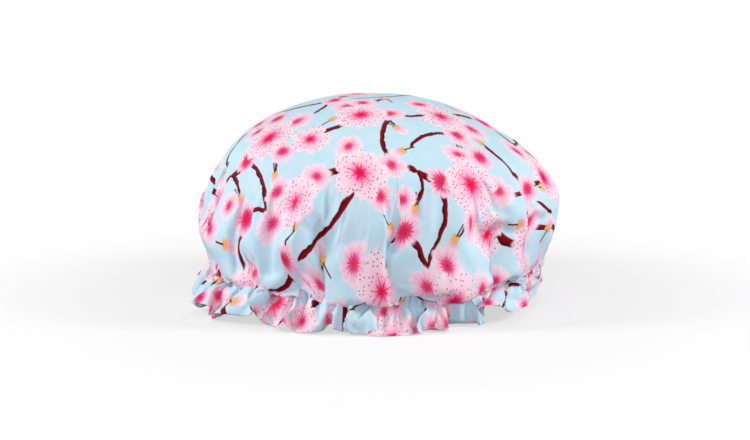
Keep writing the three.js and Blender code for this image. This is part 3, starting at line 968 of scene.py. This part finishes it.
def ribbed_elastic():
    """Woven elastic: lengthwise ribs crossed by fine weft lines, its colour darker in the grooves between
    them as painted shade that follows the bump.
    """
    made, tree, surface = new_material("elastic", {"Roughness": 0.8})
    parts = tree.parts(tree.position())
    rib = tree.math("SINE", tree.times(parts[2], TAU / RIB_PITCH))
    weft = tree.math("SINE", tree.times(tree.math("ARCTAN2", parts[1], parts[0]), ELASTIC_WEFTS))
    relief = tree.scaled(weft, 0.3, rib)
    # painted shade: the colour darkens where the relief is low, between the ribs and the wefts
    groove_shade = tree.colours(tree.scaled(relief, 0.35, 0.5), (0.0, (206, 201, 192)), (1.0, (244, 242, 236)))
    dress(tree, surface, groove_shade, relief, distance=0.0001)
    return made


def set_flat(thing, flat):
    """Keeps each point's place on the flat cut, in millimetres, for the material."""
    attribute = thing.data.attributes.new("flat", "FLOAT_VECTOR", "POINT")
    attribute.data.foreach_set("vector", np.pad(flat, ((0, 0), (0, 1))).astype(np.float32).ravel())


def subdivide(thing):
    modifier = thing.modifiers.new("Subdivision", "SUBSURF")
    modifier.levels = modifier.render_levels = 1


def smoothed(thing, count):
    """Place in millimetres and normal, on the subdivided surface, of the first points of a piece's mesh."""
    bpy.context.view_layer.update()
    mesh = thing.evaluated_get(bpy.context.evaluated_depsgraph_get()).to_mesh()
    normal = np.empty(3 * len(mesh.vertices), np.float32)
    mesh.vertex_normals.foreach_get("vector", normal)
    place = coordinates(mesh)[:count] / MM
    thing.to_mesh_clear()
    return place, normal.reshape(-1, 3)[:count].astype(float)


def ring_slice(row):
    return slice(STARTS[row], STARTS[row + 1])


drawn, slack, flat = cloth_points()
faces = ring_faces()
settled = settle(drawn, slack, faces)
points = lean(clear_of_casing(hang(settled)))
COUNT = len(points)
HEM_TURN = RINGS[ROWS - 1][0] - RINGS[HEM_STITCH_INDEX - 1][0]
IN_CROWN = slice(STARTS[UPPER_INDEX])


def printed_cover():
    """The settled cloth, with its edge turned under in a narrow hem."""
    bare = new_object("bare", points * MM, faces)
    _, normal = smoothed(bare, COUNT)
    bpy.data.objects.remove(bare)
    edge, above = ring_slice(ROWS - 1), ring_slice(HEM_STITCH_INDEX - 1)
    roll = points[edge] - normal[edge] * HEM_ROLL
    turned = points[above] - normal[above] * HEM_ROLL
    spread = flat[edge] / HEM_RHO
    whole = np.concatenate([points, roll, turned])
    hem_faces = band_faces(STARTS[ROWS - 1], COUNT, FINE) + band_faces(COUNT, COUNT + FINE, FINE)
    cover = new_object("printed_cover", whole * MM, faces + hem_faces)
    set_flat(cover, np.concatenate([flat, flat[edge] + spread, flat[edge] + spread * HEM_TURN]))
    cover.data.materials.append(printed_cloth())
    subdivide(cover)
    return cover


def film_crown():
    """The film's own round way from the top to the casing, inside the cloth's folds, and its length."""
    radii, levels = form_profile()
    arc = running(np.hypot(np.diff(radii), np.diff(levels)))
    along = RHO[IN_CROWN] / UPPER_RHO * np.interp(-UPPER_ROW, -levels, arc)
    radius, level = np.interp(along, arc, radii + FILM_LIFT), np.interp(along, arc, levels + FILM_LIFT)
    radius[0] = 0
    angle = np.arctan2(flat[IN_CROWN, 1], flat[IN_CROWN, 0])
    return lean(around(radius, angle, level)), along[-1]


def film_lining(crown, normal):
    """The film inside the cover: it goes behind the elastic, and follows the cloth in the frill."""
    inner = points - normal * FILM_GAP
    inner[IN_CROWN] = crown
    for row in range(UPPER_INDEX, LOWER_INDEX + 1):
        ring = inner[ring_slice(row)]
        span = (row - UPPER_INDEX) / CASING_STEPS
        bulge = math.sin(math.pi * span) ** 0.5
        radius = np.hypot(ring[:, 0], ring[:, 1])
        wanted = radius + (FILM_RADIUS_AT_ELASTIC - radius) * bulge
        ring[:, :2] *= (wanted / radius)[:, None]
    last = ring_slice(ROWS - 1)
    inner[last] = (1 - FILM_SHORT) * inner[last] + FILM_SHORT * inner[ring_slice(ROWS - 2)]
    lining = new_object("film_lining", inner * MM, [face[::-1] for face in faces])
    set_flat(lining, flat)
    lining.data.materials.append(film())
    subdivide(lining)
    return lining


def stitch_row(name, line, out, node):
    """A row of separate stitches along a closed line of points, on the side that out points to."""
    closed = np.concatenate([line, line[:1]])
    along = running(np.linalg.norm(np.diff(closed, axis=0), axis=1))
    stitches = round(along[-1] / STITCH_PITCH)
    share = np.linspace(0, 1, STITCH_RINGS)
    reach = (np.arange(stitches)[:, None] * along[-1] / stitches + share * STITCH_LENGTH).ravel()

    def at(values, where):
        looped = np.concatenate([values, values[:1]])
        return np.stack([np.interp(where, along, looped[:, i], period=along[-1]) for i in range(3)], 1)

    def unit(values):
        return values / np.linalg.norm(values, axis=1)[:, None]

    tangent = unit(at(line, reach + TANGENT_STEP) - at(line, reach - TANGENT_STEP))
    up = unit(at(out, reach))
    across = unit(np.cross(tangent, up))
    arch = np.tile(np.sin(math.pi * share), stitches)
    middle = at(line, reach) + up * (THREAD_RADIUS * (STITCH_ARCH * arch - 1))[:, None]
    radius = (THREAD_RADIUS * (STITCH_TIP + (1 - STITCH_TIP) * arch))[:, None]
    turn = TAU * shares(STITCH_SIDES)
    rings = [middle + radius * (math.cos(a) * across + math.sin(a) * up) for a in turn]
    places = np.stack(rings, 1).reshape(-1, 3)
    row_faces = []
    for start in range(0, len(places), STITCH_RINGS * STITCH_SIDES):
        end = start + (STITCH_RINGS - 1) * STITCH_SIDES
        for low in range(start, end, STITCH_SIDES):
            high = low + STITCH_SIDES
            row_faces += [(low + j, low + k, high + k, high + j) for j, k in neighbours(STITCH_SIDES)]
        row_faces.append(tuple(reversed(range(start, start + STITCH_SIDES))))
        row_faces.append(tuple(range(end, end + STITCH_SIDES)))
    piece = new_object(name, places * MM, row_faces)
    piece.data.materials.append(THREAD)
    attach(piece, "root")
    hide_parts(node)
    return piece


# The pieces, and what they stand for
THREAD = twisted_thread()
cover = printed_cover()
cover_place, cover_normal = smoothed(cover, COUNT)
crown, crown_length = film_crown()
lining = film_lining(crown, cover_normal)
lining_place, lining_normal = smoothed(lining, COUNT)
stitching = []
for row, index in [("upper_casing", UPPER_INDEX), ("lower_casing", LOWER_INDEX), ("hem", HEM_STITCH_INDEX)]:
    ring = ring_slice(index)
    outer_line, outside = cover_place[ring], cover_normal[ring]
    inside = lining_normal[ring]
    inner_line = lining_place[ring] + inside * (HEM_ROLL - FILM_GAP if row == "hem" else 0)
    needle = stitch_row(f"{row}_needle_stitches", outer_line, outside, f"{row}_needle_thread")
    bobbin = stitch_row(f"{row}_bobbin_stitches", inner_line, inside, f"{row}_bobbin_thread")
    stitching += [needle, bobbin]

CUT = 2 * (HEM_RHO + HEM_TURN) * MM
FILM_CUT = 2 * (crown_length + HEM_RHO - UPPER_RHO) * MM
for piece, node, slot, cut, others in [
    (cover, "outer_cover", "printed_cloth", CUT, stitching),
    (lining, "waterproof_lining", "lining_film", FILM_CUT, []),
]:
    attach(piece, "root")
    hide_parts(node)
for node, made in [("elastic_band", ribbed_elastic()), ("elastic_lap_tack", THREAD)]:
    solid = bpy.data.objects[node]
    solid.data.materials.clear()
    solid.data.materials.append(made)

# Stage, in metres: a white floor that keeps the cap's shadow, and runs into a white surround
SHADOW_REACH = (0.16, 0.42)  # from the cap's middle, over which the shadow ends
SHADOW_PALING = 0.62
WHITE, FLOOR_WHITE = (1, 1, 1, 1), (0.9, 0.9, 0.9, 1)
FLOOR_BOUNCE = (0.3, 0.24, 0.3, 1)  # colour of the light that the floor throws back at the cap
AMBIENT, AMBIENT_COLOUR = 0.255, (1, 0.95, 1, 1)
LAMP_TARGET = (0, 0, 0.07)
CAMERA_DISTANCE, CAMERA_ELEVATION, CAMERA_TARGET = 1.4, math.radians(9), Vector((-0.0027, 0, 0.0622))


def seen_by_eye(tree):
    """1 for rays of the camera, mirrors and panes, 0 for those that carry light between surfaces."""
    path = tree.add("ShaderNodeLightPath").outputs
    shown = tree.math("MAXIMUM", path["Is Camera Ray"], path["Is Glossy Ray"])
    return tree.math("MAXIMUM", shown, path["Is Transmission Ray"])


def floor_paint():
    made, tree, surface = new_material("floor", {"Roughness": 0.9, "Specular IOR Level": 0})
    paint = tree.mix(seen_by_eye(tree), FLOOR_BOUNCE, FLOOR_WHITE)
    tree.put(surface.inputs["Base Color"], paint)
    far = tree.ramp(tree.vector("LENGTH", tree.position()), *SHADOW_REACH)
    white = tree.add("ShaderNodeEmission", (WHITE, 1.0))
    pale = tree.scaled(far, 1 - SHADOW_PALING, SHADOW_PALING)
    share = tree.times(pale, seen_by_eye(tree))
    mixed = tree.add("ShaderNodeMixShader", (share, surface.outputs[0], white.outputs[0]))
    tree.put(made.node_tree.nodes["Material Output"].inputs["Surface"], mixed.outputs[0])
    return made


floor = plane("floor", FLOOR_SIZE)
floor.data.materials.append(floor_paint())

world = bpy.data.worlds.new("studio")
bpy.context.scene.world = world
world.use_nodes = True
sky = Tree(world.node_tree)
background = world.node_tree.nodes["Background"]
sky.put(background.inputs["Color"], sky.mix(seen_by_eye(sky), AMBIENT_COLOUR, WHITE))
sky.put(background.inputs["Strength"], sky.scaled(seen_by_eye(sky), 1 - AMBIENT, AMBIENT))


def aim(thing, place, target):
    thing.location = place
    thing.rotation_euler = (Vector(target) - Vector(place)).to_track_quat("-Z", "Y").to_euler()


def area_light(name, place, size, power):
    light = bpy.data.lights.new(name, "AREA")
    light.size = size
    light.energy = power
    lamp = bpy.data.objects.new(name, light)
    bpy.context.scene.collection.objects.link(lamp)
    aim(lamp, place, LAMP_TARGET)


area_light("left", place=(-1.15, -0.3, 0.7), size=0.35, power=11.8)
area_light("right", place=(1.15, -0.3, 0.7), size=0.35, power=11.8)
area_light("front", place=(0, -1.35, 0.24), size=0.5, power=5.2)

camera_data = bpy.data.cameras.new("camera")
camera_data.lens = 85
camera_data.sensor_width = 36
camera = bpy.data.objects.new("camera", camera_data)
bpy.context.scene.collection.objects.link(camera)
reach = Vector((0, -math.cos(CAMERA_ELEVATION), math.sin(CAMERA_ELEVATION))) * CAMERA_DISTANCE
aim(camera, CAMERA_TARGET + reach, CAMERA_TARGET)
bpy.context.scene.camera = camera
bpy.context.scene.view_settings.view_transform = "Standard"
